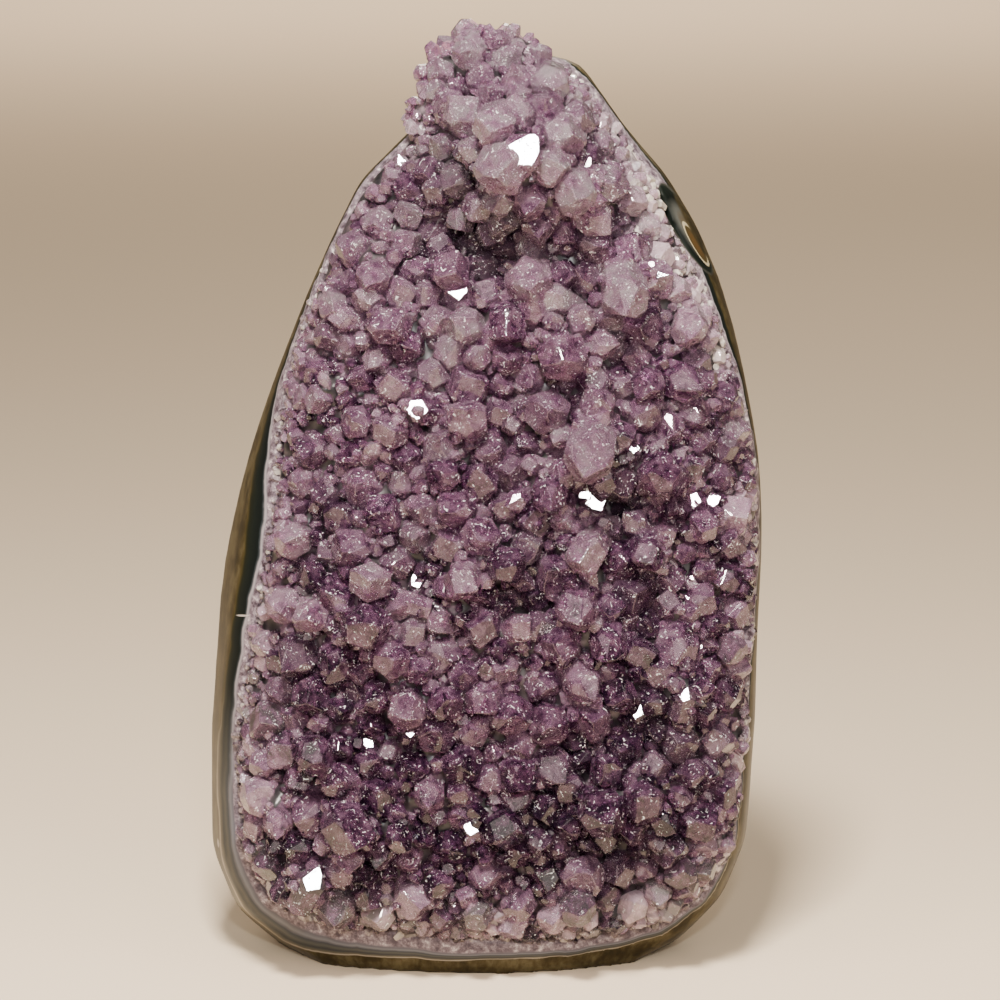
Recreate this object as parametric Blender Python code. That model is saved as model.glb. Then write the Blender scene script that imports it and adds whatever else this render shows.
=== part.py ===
"""A polished amethyst cluster that stands on its own sawn base.

It is a lump from the wall of a geode: a stone shell of rind, agate and white quartz, ground
and polished round the outside, and the crust of amethyst crystals that lines its front.
Metres, +Z up, the crystals face -Y. The origin is below the middle of the cluster, on the base.
"""

import math
import random

import bmesh
import bpy
from mathutils import Matrix, Vector, noise

# Driving sizes

MM = 0.001
GAP = 0.3 * MM
SEED = 7
HEIGHT = 248 * MM
WIDTH = 146 * MM

# Outline of the stone seen from the front, clockwise from the top: how far right of the
# middle, how far above the base, and how wide the polished rim is there. The lump went on
# below the base before it was sawn, so the lowest points are under zero.
OUTLINE_MM = (
    (5, 240, 2),
    (19, 243, 2),
    (30, 228, 2),
    (42, 213.5, 3),
    (50, 204.5, 6),
    (57, 191, 7.5),
    (62, 179, 6),
    (67, 160, 2.5),
    (71, 140, 2),
    (73, 110, 2),
    (72, 82, 3),
    (71, 52, 5),
    (70, 31, 7),
    (65.5, 17, 8),
    (56, 5, 10),
    (38, -9, 20),
    (5, -28, 38),
    (-34, -18, 31),
    (-58, 1, 16),
    (-70, 12, 14),
    (-74.5, 26, 14),
    (-74.5, 47, 12),
    (-73, 78, 12),
    (-69.5, 110, 12),
    (-63, 136, 9),
    (-54, 161, 4),
    (-43.5, 186, 2),
    (-34, 206, 1.5),
    (-24, 216, 1.5),
    (-12, 228, 1.5),
)
CENTRE = Vector((-1 * MM, 0, 110 * MM))
BASE_Z = 0.0

# Depths: how far the front and the back stand from the widest line, low down and at the top
FRONT_LOW = 42 * MM
FRONT_TOP = 24 * MM
BACK_LOW = 41 * MM
BACK_TOP = 24 * MM
MIDDLE_Y = 5.2 * MM
LEAN = 6 * MM
ROUNDNESS = 2.7
BASIN_DEPTH = 11 * MM
BACK_LUMPS = 9 * MM
LUMP_WIDTH = 34 * MM
CRUST_RISE = 4 * MM
EDGE_STEP = 0.4 * MM
EDGE_RUN = 14 * MM

# Lumps (up) and hollows (down) of the crust: place across, height, reach and rise
RELIEF_MM = (
    (8, 217, 20, 15),
    (14, 205, 12, 4),
    (-10, 191, 13, -10),
    (7, 188, 10, -7),
    (-37, 114, 9, -6),
    (-18, 103, 9, -5),
    (9, 103, 9, -5),
    (33, 124, 9, -6),
    (42, 97, 10, -6),
    (43, 66, 9, -6),
    (24, 54, 9, -6),
    (32, 32, 14, -6),
    (38, 45, 13, 5),
    (-5, 107, 16, 4),
    (11, 174, 14, 4),
    (27, 142, 15, 4),
    (47, 71, 10, 3),
    (-30, 102, 11, 4),
    (-34, 42, 13, 3),
    (-45, 22, 9, 3),
    (-46, 80, 9, -4),
)

# The close field of small crystals: their spacing, how far a tip stands over the valleys, and
# how far a place or a tip strays
FIELD_PITCH = 9.4 * MM
FIELD_DEPTH = 1.6 * MM
FIELD_RISE = (2 * MM, 4.8 * MM)
FIELD_JITTER = 1.3 * MM
FIELD_LEAN = 1.2 * MM

# Habit of the crystals: slope of the tip faces, and the length of prism below the shoulder
TIP_SLOPE = math.radians(51.8)
ROOT_SHARE = 1.1
SHOULDER_RISE = (0.1, 0.6)
AXIS_SCATTER = 0.26
FILL_TRIES = 500
FILL_RADII = (4.8 * MM, 7.4 * MM)
EDGE_SHRINK = 0.72
EDGE_KEEP = 0.7
SPACING = 1.25

# The largest crystals: place across, height and radius
MAIN_CRYSTALS_MM = (
    (6, 217, 8.7), (19, 221, 6.6), (22, 207, 7.1), (-9, 226, 5.3), (1, 230, 4.4), (16, 233, 5.8),
    (-4, 242, 5), (5, 240, 4.4), (-12, 236, 4.2), (13, 241, 4.4), (-15, 230, 4), (-17, 223, 3.8),
    (11, 183, 7.4), (-8, 183, 6.9), (5, 173, 5.8), (19, 165, 7.4), (35, 182, 7.9), (-40, 176, 5),
    (41, 157, 5.5), (-11, 134, 5.5), (-8, 126, 5.8), (-2, 119, 5.8), (-6, 109, 5.3), (4, 112, 5.8),
    (-28, 122, 6), (-35, 115, 6.6), (-30, 107, 6.6), (16, 130, 5.8), (26, 141, 7.9), (26, 115, 5.8),
    (41, 114, 5), (56, 120, 5), (45, 134, 6.6), (23, 100, 6.3), (31, 91, 5.8), (63, 87, 5),
    (49, 78, 7.1), (24, 81, 5), (-45, 98, 5.3), (-32, 96, 6.6), (-25, 87, 5.5), (-21, 75, 5.8),
    (-11, 76, 5.5), (-1, 77, 5), (-45, 62, 5.4), (-15, 52, 5.4), (-36, 44, 7.9), (-23, 41, 4.8),
    (-46, 27, 6.9), (29, 48, 7.4), (40, 50, 6.4), (-3, 19, 4.4), (13, 40, 4.2), (23, 21, 5.3),
    (50, 29, 5), (-5, 148, 6.3), (-21, 151, 6.3), (-26, 172, 5.8), (52, 171, 5.8), (-50, 116, 5.3),
    (8, 57, 5.8),
)
# The lump at the top, whose crystals lean out over the polished edge: its heart and half sizes
TOP_HEART = Vector((1 * MM, 3 * MM, 227 * MM))
TOP_REACH = Vector((16 * MM, 12 * MM, 15.5 * MM))

# Fineness of the rounded stone, as shares of the way from its edge to its middle
STONE_POINTS = 48
BACK_RINGS = (0.16, 0.32, 0.48, 0.63, 0.76, 0.87, 0.95)
RIM_RINGS = (0, 0.4, 0.75, 1)
FLOOR_RINGS = (1, 0.9, 0.7, 0.4)
ROOM_POINTS = 40
ROOM_BACK_RINGS = (0.5, 1)
ROOM_FRONT = 90 * MM
WELD = 0.002 * MM
EPSILON = 1e-6


def clear_scene():
    for item in list(bpy.data.objects):
        bpy.data.objects.remove(item, do_unlink=True)


def polar_outline():
    """Angle, radius and rim width of each outline point, in order of angle."""
    rows = []
    for across, height, rim in OUTLINE_MM:
        x = across * MM - CENTRE.x
        z = height * MM - CENTRE.z
        rows.append((math.atan2(z, x), math.hypot(x, z), rim * MM))
    return sorted(rows)


POLAR = polar_outline()


def edge_at(angle):
    """Radius of the stone's outline and width of its rim at an angle, through all the points."""
    count = len(POLAR)
    after = next((i for i, row in enumerate(POLAR) if row[0] > angle), 0)
    rows = [list(POLAR[(after + k) % count]) for k in (-2, -1, 0, 1)]
    for row in rows:
        while row[0] < angle - math.pi:
            row[0] += math.tau
        while row[0] > angle + math.pi:
            row[0] -= math.tau
    before, start, end, beyond = rows
    span = end[0] - start[0]
    t = (angle - start[0]) / span
    found = []
    for k in (1, 2):
        slope_in = (end[k] - before[k]) / (end[0] - before[0]) * span
        slope_out = (beyond[k] - start[k]) / (beyond[0] - start[0]) * span
        found.append(
            (2 * t**3 - 3 * t**2 + 1) * start[k]
            + (t**3 - 2 * t**2 + t) * slope_in
            + (3 * t**2 - 2 * t**3) * end[k]
            + (t**3 - t**2) * slope_out
        )
    return found[0], max(found[1], 1 * MM)


def blend_by_height(z, low, top):
    share = min(max(z / HEIGHT, 0), 1)
    return low + (top - low) * share * share * (3 - 2 * share)


def lean_at(z):
    return MIDDLE_Y + LEAN * min(max(z / HEIGHT, 0), 1)


def dome(share):
    """Height of the rounded side over the middle plane, 1 at the middle and 0 at the edge."""
    return max(1 - min(share, 1) ** ROUNDNESS, 0) ** (1 / ROUNDNESS)


def stone_front(x, z):
    radius, _ = edge_at(math.atan2(z - CENTRE.z, x - CENTRE.x))
    share = math.hypot(x - CENTRE.x, z - CENTRE.z) / radius
    return lean_at(z) - blend_by_height(z, FRONT_LOW, FRONT_TOP) * dome(share)


def inside_crust(x, z):
    """How far a point lies inside the crust's edge, negative outside it."""
    radius, rim = edge_at(math.atan2(z - CENTRE.z, x - CENTRE.x))
    return radius - rim - math.hypot(x - CENTRE.x, z - CENTRE.z)


def edge_ramp(inside):
    return 1 - math.exp(-max(inside, 0) / EDGE_RUN * 2)


def crust_front(x, z):
    ramp = edge_ramp(inside_crust(x, z))
    relief = 0
    for across, height, reach, rise in RELIEF_MM:
        away = math.hypot(x - across * MM, z - height * MM) / (reach * MM)
        relief += rise * MM * math.exp(-away * away)
    return stone_front(x, z) - EDGE_STEP - (CRUST_RISE + relief) * ramp


def ring(bm, count, radius_at, depth_at):
    """A closed loop of vertices round the middle, at a radius for each angle."""
    verts = []
    for step in range(count):
        angle = -math.pi + math.tau * (step + 0.5) / count
        reach = radius_at(angle)
        x = CENTRE.x + reach * math.cos(angle)
        z = CENTRE.z + reach * math.sin(angle)
        verts.append(bm.verts.new((x, depth_at(x, z, reach, angle), z)))
    return verts


def join_rings(bm, rings, first_pole, last_pole):
    """Skin the loops in order and close both ends on a single point."""
    count = len(rings[0])
    for one, two in zip(rings, rings[1:]):
        for k in range(count):
            n = (k + 1) % count
            bm.faces.new((one[k], one[n], two[n], two[k]))
    for loop, place in ((rings[0], first_pole), (rings[-1], last_pole)):
        pole = bm.verts.new(place)
        for k in range(count):
            bm.faces.new((loop[k], loop[(k + 1) % count], pole))
    bmesh.ops.recalc_face_normals(bm, faces=bm.faces)


def crust_radius(share, grow):
    """Radius of a loop inside the crust's edge, as a share of the way out to that edge."""
    return lambda angle: (edge_at(angle)[0] - edge_at(angle)[1] - grow) * share


def floor_at(x, z, inside):
    """The basin's floor, which the crust lies on."""
    return stone_front(x, z) + BASIN_DEPTH * edge_ramp(inside) + 2 * MM


def stone_mesh(grow):
    """The ground lump with the basin in its front. Grow moves its whole front outwards."""
    bm = bmesh.new()

    def front(x, z, reach, angle):
        radius, _ = edge_at(angle)
        base = blend_by_height(z, FRONT_LOW, FRONT_TOP)
        return lean_at(z) - base * dome(reach / (radius + grow)) - grow

    def back(x, z, reach, angle):
        radius, _ = edge_at(angle)
        base = blend_by_height(z, BACK_LOW, BACK_TOP)
        swell = BACK_LUMPS * noise.noise(Vector((x, 0, z)) / LUMP_WIDTH) * (1 - reach / radius)
        return lean_at(z) + base * dome(reach / (radius + grow)) + grow + swell

    def floor(x, z, reach, angle):
        return floor_at(x, z, inside_crust(x, z)) - grow * 1.5

    def rim_radius(share):
        return lambda angle: edge_at(angle)[0] + grow - (edge_at(angle)[1] + 2 * grow) * share

    rings = []
    for share in BACK_RINGS:
        rings.append(ring(bm, STONE_POINTS, lambda a, s=share: edge_at(a)[0] * s, back))
    for share in RIM_RINGS:
        rings.append(ring(bm, STONE_POINTS, rim_radius(share), front))
    for share in FLOOR_RINGS:
        rings.append(ring(bm, STONE_POINTS, crust_radius(share, grow * (share == 1)), floor))
    back_pole = (CENTRE.x, back(CENTRE.x, CENTRE.z, 0, 0), CENTRE.z)
    floor_pole = (CENTRE.x, floor(CENTRE.x, CENTRE.z, 0, 0), CENTRE.z)
    join_rings(bm, rings, back_pole, floor_pole)
    return bm


def crust_room_mesh():
    """The room that the crust may fill: from a little under the basin's floor to far in front."""
    bm = bmesh.new()

    def front(x, z, reach, angle):
        return -ROOM_FRONT

    def back(x, z, reach, angle):
        return floor_at(x, z, inside_crust(x, z)) + 1 * MM

    rings = []
    for share in ROOM_BACK_RINGS:
        rings.append(ring(bm, ROOM_POINTS, crust_radius(share, 0), back))
    rings.append(ring(bm, ROOM_POINTS, crust_radius(1, 0), front))
    back_pole = (CENTRE.x, back(CENTRE.x, CENTRE.z, 0, 0), CENTRE.z)
    join_rings(bm, rings, back_pole, (CENTRE.x, -ROOM_FRONT, CENTRE.z))
    return bm


def tip_field_mesh():
    """The close field of small crystals, each a six-sided tip that meets its neighbours."""
    bm = bmesh.new()
    chance = random.Random(SEED + 2)
    across = FIELD_PITCH
    up = FIELD_PITCH * math.sin(math.pi / 3)
    rows = range(-2, int(HEIGHT / up) + 3)
    centres = {}
    for b in rows:
        half = int(WIDTH / across / 2) + 2
        for a in range(-half - b // 2, half - b // 2):
            x = (a + b / 2) * across + chance.uniform(-1, 1) * FIELD_JITTER
            z = b * up + chance.uniform(-1, 1) * FIELD_JITTER
            centres[a, b] = Vector((x, 0, z))
    valleys = {}

    def valley(*corners):
        if any(corner not in centres for corner in corners):
            return None
        key = tuple(sorted(corners))
        if key not in valleys:
            spot = sum((centres[corner] for corner in corners), Vector()) / 3
            spot.y = crust_front(spot.x, spot.z) + FIELD_DEPTH
            valleys[key] = bm.verts.new(spot)
        return valleys[key]

    for (a, b), centre in centres.items():
        around = ((a + 1, b), (a, b + 1), (a - 1, b + 1), (a - 1, b), (a, b - 1), (a + 1, b - 1))
        foot = [valley((a, b), around[k - 1], around[k]) for k in range(6)]
        if None in foot:
            continue
        tip = centre + Vector((chance.uniform(-1, 1), 0, chance.uniform(-1, 1))) * FIELD_LEAN
        tip.y = crust_front(centre.x, centre.z) - chance.uniform(*FIELD_RISE)
        top = bm.verts.new(tip)
        for k in range(6):
            bm.faces.new((foot[k - 1], foot[k], top))
    rim = [edge for edge in bm.edges if edge.is_boundary]
    walls = bmesh.ops.extrude_edge_only(bm, edges=rim)["geom"]
    for vert in walls:
        if isinstance(vert, bmesh.types.BMVert):
            vert.co.y = ROOM_FRONT
    bmesh.ops.holes_fill(bm, edges=[edge for edge in bm.edges if edge.is_boundary])
    bmesh.ops.recalc_face_normals(bm, faces=bm.faces)
    return bm


def add_crystal(bm, place, axis, spin, radius, root, chance):
    """One six-sided crystal, a prism whose tip of six faces leans a little to one side."""
    tip = radius * math.cos(math.pi / 6) * math.tan(TIP_SLOPE)
    made = bmesh.ops.create_cone(
        bm, cap_ends=True, segments=6, radius1=radius * 0.85, radius2=radius, depth=root
    )
    verts = made["verts"]
    bmesh.ops.translate(bm, verts=verts, vec=(0, 0, -root / 2))
    top = next(f for v in verts for f in v.link_faces if all(w.co.z > -EPSILON for w in f.verts))
    for vert in top.verts:
        vert.co.z += chance.uniform(-0.12, 0.12) * radius
    poked = bmesh.ops.poke(bm, faces=[top])
    lean = radius * 0.22
    poked["verts"][0].co = (chance.uniform(-lean, lean), chance.uniform(-lean, lean), tip)
    turn = Vector((0, 0, 1)).rotation_difference(axis).to_matrix()
    move = Matrix.Translation(place) @ (turn @ Matrix.Rotation(spin, 3, "Z")).to_4x4()
    bmesh.ops.transform(bm, matrix=move, verts=verts + poked["verts"])


def crystal_places():
    """Every large crystal: place across, height and radius."""
    chance = random.Random(SEED)
    places = [(x * MM, z * MM, r * MM) for x, z, r in MAIN_CRYSTALS_MM]
    low, high = FILL_RADII
    for _ in range(FILL_TRIES):
        x = chance.uniform(-75, 75) * MM
        z = chance.uniform(0, 245) * MM
        radius = chance.uniform(low, high)
        inside = inside_crust(x, z)
        if inside < EDGE_RUN:
            radius *= EDGE_SHRINK
        if inside < radius * EDGE_KEEP:
            continue
        clear = all(
            math.hypot(x - px, z - pz) > (radius + pr) * SPACING for px, pz, pr in places
        )
        if clear:
            places.append((x, z, radius))
    return places


def on_top_lump(x, z, radius):
    return inside_crust(x, z) < radius * 0.6 and z > TOP_HEART.z - 3 * MM and x < 16 * MM


def front_normal(x, z):
    step = 3 * MM
    slope_x = (crust_front(x + step, z) - crust_front(x - step, z)) / (2 * step)
    slope_z = (crust_front(x, z + step) - crust_front(x, z - step)) / (2 * step)
    return Vector((slope_x, -1, slope_z)).normalized()


def crystals_mesh():
    bm = bmesh.new()
    chance = random.Random(SEED + 1)
    for x, z, radius in crystal_places():
        inside = inside_crust(x, z)
        if on_top_lump(x, z, radius):
            away = (Vector((x, 0, z)) - TOP_HEART).normalized()
            foot = TOP_HEART + away * TOP_REACH
        else:
            away = front_normal(x, z)
            calm = min(max(inside, 0) / EDGE_RUN, 1)
            away = Vector((away.x * calm, away.y, away.z * calm))
            foot = Vector((x, crust_front(x, z), z))
        scatter = Vector((chance.gauss(0, 1), chance.gauss(0, 1), chance.gauss(0, 1)))
        axis = (away.normalized() + scatter * AXIS_SCATTER).normalized()
        shoulder = radius * chance.uniform(*SHOULDER_RISE)
        root = shoulder + radius * ROOT_SHARE
        spin = chance.uniform(0, math.tau)
        add_crystal(bm, foot + axis * shoulder, axis, spin, radius, root, chance)
    made = bmesh.ops.create_icosphere(bm, subdivisions=2, radius=1)
    move = Matrix.Translation(TOP_HEART) @ Matrix.Diagonal((*TOP_REACH, 1))
    bmesh.ops.transform(bm, matrix=move, verts=made["verts"])
    return bm


def object_from(name, bm):
    mesh = bpy.data.meshes.new(name)
    bm.to_mesh(mesh)
    bm.free()
    item = bpy.data.objects.new(name, mesh)
    bpy.context.scene.collection.objects.link(item)
    return item


def combine(item, tool, operation):
    step = item.modifiers.new(operation.lower(), "BOOLEAN")
    step.operation = operation
    step.object = tool
    step.use_self = operation == "UNION"
    tool.hide_render = True
    tool.display_type = "WIRE"


def largest_body(bm):
    """Delete the loose chips and closed pockets that a union or a cut leaves behind."""
    left = set(bm.verts)
    bodies = []
    while left:
        reached = [left.pop()]
        for vert in reached:
            for edge in vert.link_edges:
                other = edge.other_vert(vert)
                if other in left:
                    left.remove(other)
                    reached.append(other)
        bodies.append(reached)
    bodies.sort(key=len, reverse=True)
    for body in bodies[1:]:
        bmesh.ops.delete(bm, geom=body, context="VERTS")


def make_material(name, colour, roughness):
    paint = bpy.data.materials.new(name)
    paint.use_nodes = True
    surface = paint.node_tree.nodes["Principled BSDF"]
    surface.inputs["Base Color"].default_value = (*colour, 1)
    surface.inputs["Roughness"].default_value = roughness
    surface.inputs["Metallic"].default_value = 0
    return paint


def build_shell():
    bm = stone_mesh(0)
    all_parts = bm.verts[:] + bm.edges[:] + bm.faces[:]
    cut = bmesh.ops.bisect_plane(
        bm, geom=all_parts, plane_co=(0, 0, BASE_Z), plane_no=(0, 0, 1), clear_inner=True
    )
    rim = [part for part in cut["geom_cut"] if isinstance(part, bmesh.types.BMEdge)]
    bmesh.ops.contextual_create(bm, geom=rim)
    bmesh.ops.recalc_face_normals(bm, faces=bm.faces)
    shell = object_from("polished_stone_shell", bm)
    shell.data.shade_smooth()
    shell.data.set_sharp_from_angle(angle=math.radians(35))
    shell.data.materials.append(make_material("olive_rind_and_agate", (0.22, 0.18, 0.11), 0.25))
    return shell


def build_crust():
    field = object_from("tip_field", tip_field_mesh())
    tools = (
        (object_from("crust_room", crust_room_mesh()), "INTERSECT"),
        (object_from("large_crystals", crystals_mesh()), "UNION"),
        (object_from("stone_room", stone_mesh(GAP)), "DIFFERENCE"),
    )
    for tool, operation in tools:
        combine(field, tool, operation)
    ready = field.evaluated_get(bpy.context.evaluated_depsgraph_get())
    bm = bmesh.new()
    bm.from_mesh(ready.data)
    bmesh.ops.remove_doubles(bm, verts=bm.verts, dist=WELD)
    bmesh.ops.dissolve_degenerate(bm, edges=bm.edges, dist=WELD)
    largest_body(bm)
    bmesh.ops.triangulate(bm, faces=bm.faces)
    for tool, _ in tools:
        bpy.data.objects.remove(tool, do_unlink=True)
    bpy.data.objects.remove(field, do_unlink=True)
    crust = object_from("amethyst_crystal_crust", bm)
    crust.data.materials.append(make_material("amethyst", (0.22, 0.11, 0.19), 0.12))
    return crust


clear_scene()
build_shell()
build_crust()
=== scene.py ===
"""The looks of a polished amethyst cluster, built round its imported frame.

Metres, +Z up from the sawn base, crystals facing -Y.
"""

import math
import random

import bmesh
import bpy
from mathutils import Matrix, Vector, noise
from mathutils.bvhtree import BVHTree
from mathutils.kdtree import KDTree


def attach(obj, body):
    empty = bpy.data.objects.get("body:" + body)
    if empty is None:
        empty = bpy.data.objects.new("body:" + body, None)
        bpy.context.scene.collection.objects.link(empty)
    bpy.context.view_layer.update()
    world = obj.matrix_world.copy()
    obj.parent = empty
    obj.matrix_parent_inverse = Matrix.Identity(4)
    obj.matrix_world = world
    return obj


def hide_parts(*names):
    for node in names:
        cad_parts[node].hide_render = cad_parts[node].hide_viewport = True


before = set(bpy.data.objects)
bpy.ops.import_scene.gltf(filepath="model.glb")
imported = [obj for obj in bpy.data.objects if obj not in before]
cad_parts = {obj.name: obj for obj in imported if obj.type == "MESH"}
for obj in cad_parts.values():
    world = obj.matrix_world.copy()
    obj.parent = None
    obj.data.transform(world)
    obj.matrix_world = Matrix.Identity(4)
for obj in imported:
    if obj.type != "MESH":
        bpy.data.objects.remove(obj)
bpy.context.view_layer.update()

MM = 0.001

# The stone shell
# One lump of geode wall: olive-brown rind, then black-green and blue-grey agate, then white
# quartz, grown as one. It is sawn flat below, ground round the outside and polished; only the
# back keeps a dull, pitted skin.


def merged_copy(node, name):
    """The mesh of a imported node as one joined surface, in an object of its own."""
    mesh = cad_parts[node].data.copy()
    bm = bmesh.new()
    bm.from_mesh(mesh)
    bmesh.ops.remove_doubles(bm, verts=bm.verts, dist=0.001 * MM)
    bm.to_mesh(mesh)
    bm.free()
    mesh.materials.clear()
    piece = bpy.data.objects.new(name, mesh)
    bpy.context.scene.collection.objects.link(piece)
    return piece


def surface_tree(piece):
    """A tree for finding the nearest place on a piece and where a line meets it."""
    points = [vert.co.copy() for vert in piece.data.vertices]
    return BVHTree.FromPolygons(points, [tuple(face.vertices) for face in piece.data.polygons])


def even_skin(piece, voxel, rounds, flat_below):
    """Give a piece a skin of small even faces and smooth its facets, but not its flat base."""
    step = piece.modifiers.new("even_skin", "REMESH")
    step.mode = "VOXEL"
    step.voxel_size = voxel
    ready = piece.evaluated_get(bpy.context.evaluated_depsgraph_get())
    bm = bmesh.new()
    bm.from_mesh(ready.data)
    piece.modifiers.clear()
    free = [vert for vert in bm.verts if vert.co.z > flat_below]
    for _ in range(rounds):
        bmesh.ops.smooth_vert(
            bm, verts=free, factor=0.5, use_axis_x=True, use_axis_y=True, use_axis_z=True
        )
    for face in bm.faces:
        face.smooth = True
    bm.to_mesh(piece.data)
    bm.free()


def linear(hex_colour):
    """An sRGB hex colour as the linear colour that a shader takes."""
    parts = [int(hex_colour[i : i + 2], 16) / 255 for i in (1, 3, 5)]
    return (*[p / 12.92 if p <= 0.04045 else ((p + 0.055) / 1.055) ** 2.4 for p in parts], 1)


def new_material(name):
    """A fresh material's node tree and its Principled surface."""
    material = bpy.data.materials.new(name)
    material.use_nodes = True
    return material, material.node_tree, material.node_tree.nodes["Principled BSDF"]


def add(tree, kind, settings=None, **links):
    """Add a node, set its settings and fixed sockets, and link the sockets named or numbered."""
    made = tree.nodes.new(kind)
    for key, value in (settings or {}).items():
        if isinstance(key, int) or key in made.inputs.keys():
            made.inputs[key].default_value = value
        else:
            setattr(made, key, value)
    for key, source in links.items():
        socket = int(key[1:]) if key[0] == "s" and key[1:].isdigit() else key.replace("_", " ")
        tree.links.new(source, made.inputs[socket])
    return made


def set_stops(ramp, stops):
    """Give a colour ramp its stops, each a place from 0 to 1 and an sRGB colour."""
    elements = ramp.color_ramp.elements
    while len(elements) < len(stops):
        elements.new(0.5)
    for element, (place, colour) in zip(elements, stops):
        element.position = place
        element.color = linear(colour)


def finish_piece(piece, material, node):
    """Paint a piece and put it in the frame in place of a node."""
    piece.data.materials.append(material)
    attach(piece, "root")
    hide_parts(node)


def flat(place):
    """A place as seen straight from the front, with its depth left out."""
    return Vector((place[0], 0, place[2]))


def flat_tree(places):
    """A tree for finding how far, seen from the front, a place is from the nearest of these."""
    tree = KDTree(len(places))
    for index, place in enumerate(places):
        tree.insert(flat(place), index)
    tree.balance()
    return tree


SAWN_BASE = 0.3 * MM
shell = merged_copy("polished_stone_shell", "polished_shell")
even_skin(shell, 1.3 * MM, 6, SAWN_BASE)
bed = merged_copy("amethyst_crystal_crust", "quartz_bed")
even_skin(bed, 1.6 * MM, 10, -1)
bed_tree = surface_tree(bed)

# The sides are ground smooth, and the back is left lumpy, as it broke from the rock
bm = bmesh.new()
bm.from_mesh(shell.data)
ground = [vert for vert in bm.verts if vert.normal.y > -0.7 and vert.co.z > SAWN_BASE]
rounded = [vert for vert in ground if vert.normal.y > 0.05]
for verts, rounds in ((ground, 24), (rounded, 18)):
    for _ in range(rounds):
        bmesh.ops.smooth_vert(
            bm, verts=verts, factor=0.5, use_axis_x=True, use_axis_y=True, use_axis_z=True
        )
bm.normal_update()
for vert in rounded:
    rough = min(max((vert.normal.y - 0.35) / 0.35, 0), 1)
    lump = noise.fractal(vert.co / (9 * MM), 0.8, 2.1, 4)
    vert.co += vert.normal * lump * rough * 0.9 * MM
bm.to_mesh(shell.data)
bm.free()

# How wide the rind and the dark agate are round the rim, as shares of its width: the direction
# from the stone's middle in degrees, the rind, the agate
RIM_BANDS = (
    (-180, 0.4, 0.46), (-165, 0.44, 0.36), (-152, 0.32, 0.42), (-143, 0.22, 0.58),
    (-132, 0.22, 0.6), (-118, 0.25, 0.5), (-105, 0.34, 0.25), (-90, 0.4, 0.16),
    (-75, 0.5, 0.16), (-60, 0.7, 0.14), (-45, 0.74, 0.12), (-30, 0.66, 0.12),
    (-18, 0.5, 0.14), (0, 0.25, 0.12), (25, 0.3, 0.2), (42, 0.45, 0.35),
    (50, 0.4, 0.3), (64, 0.15, 0.1), (84, 0.2, 0.15), (118, 0.3, 0.12),
    (142, 0.2, 0.14), (158, 0.2, 0.46), (172, 0.34, 0.5), (180, 0.4, 0.46),
)


def rim_bands(place):
    """The shares of the rim that are rind and dark agate at a place."""
    turn = math.degrees(math.atan2(place.z - 110 * MM, place.x + 1 * MM))
    for (start, rind, dark), (end, next_rind, next_dark) in zip(RIM_BANDS, RIM_BANDS[1:]):
        if turn <= end:
            share = (turn - start) / (end - start)
            return rind + (next_rind - rind) * share, dark + (next_dark - dark) * share
    return RIM_BANDS[-1][1:]


# The layer at each point of the rim: quartz up to 0.4, dark agate up to 0.7, rind up to 1
crust_edge = flat_tree([vert.co for vert in bed.data.vertices])
side_edge = flat_tree([v.co for v in shell.data.vertices if abs(v.normal.y) < 0.12])
layer = shell.data.attributes.new("layer", "FLOAT", "POINT")
dull = shell.data.attributes.new("dull", "FLOAT", "POINT")
front_rim = []
for vert in shell.data.vertices:
    to_crust = max(crust_edge.find(flat(vert.co))[2] - 1 * MM, 0)
    to_side = side_edge.find(flat(vert.co))[2]
    share = to_crust / (to_crust + to_side + 0.01 * MM)
    rind, dark = rim_bands(vert.co)
    if vert.normal.y > -0.12:
        found = 1
    elif share < 1 - rind - dark:
        found = 0.4 * share / (1 - rind - dark)
    elif share < 1 - rind:
        found = 0.4 + 0.3 * (share - 1 + rind + dark) / dark
    else:
        found = 0.7 + 0.3 * (share - 1 + rind) / rind
    layer.data[vert.index].value = found
    dull.data[vert.index].value = min(max((vert.normal.y - 0.25) / 0.4, 0), 1)
    if vert.normal.y < 0.1 and bed_tree.ray_cast(vert.co, Vector((0, -1, 0)))[0] is None:
        front_rim.append(vert.co)
rim_edge = flat_tree(front_rim)
shell_tree = surface_tree(shell)

stone, tree, surface = new_material("agate_and_rind")
place = add(tree, "ShaderNodeTexCoord").outputs["Object"]
layer = add(tree, "ShaderNodeAttribute", {"attribute_name": "layer"}).outputs["Fac"]
dull = add(tree, "ShaderNodeAttribute", {"attribute_name": "dull"}).outputs["Fac"]

# The bands of the rim: sugary white quartz, then agate in thin lines, then rind. The agate is
# black-green higher up and blue-grey near the base.
wobble = add(
    tree, "ShaderNodeTexNoise", {"Scale": 60.0, "Detail": 4.0}, Vector=place
).outputs["Fac"]
centred = add(tree, "ShaderNodeMath", {"operation": "SUBTRACT", 1: 0.5}, s0=wobble).outputs[0]
bands = add(
    tree, "ShaderNodeMath", {"operation": "MULTIPLY_ADD", 1: 0.16}, s0=centred, s2=layer
).outputs[0]
black = add(tree, "ShaderNodeValToRGB", Fac=bands)
set_stops(black, (
    (0.36, "#6f6a70"), (0.42, "#8d868b"), (0.45, "#34393c"), (0.48, "#101414"), (0.6, "#171b18"),
    (0.66, "#1c1e15"), (0.7, "#42391f"),
))
blue = add(tree, "ShaderNodeValToRGB", Fac=bands)
set_stops(blue, (
    (0.34, "#70666d"), (0.4, "#53525a"), (0.45, "#69686d"), (0.5, "#3b3d41"), (0.55, "#4c4b46"),
    (0.6, "#333536"), (0.655, "#575247"), (0.675, "#958b7c"), (0.7, "#38321f"),
))
height = add(tree, "ShaderNodeSeparateXYZ", Vector=place).outputs["Z"]
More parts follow.
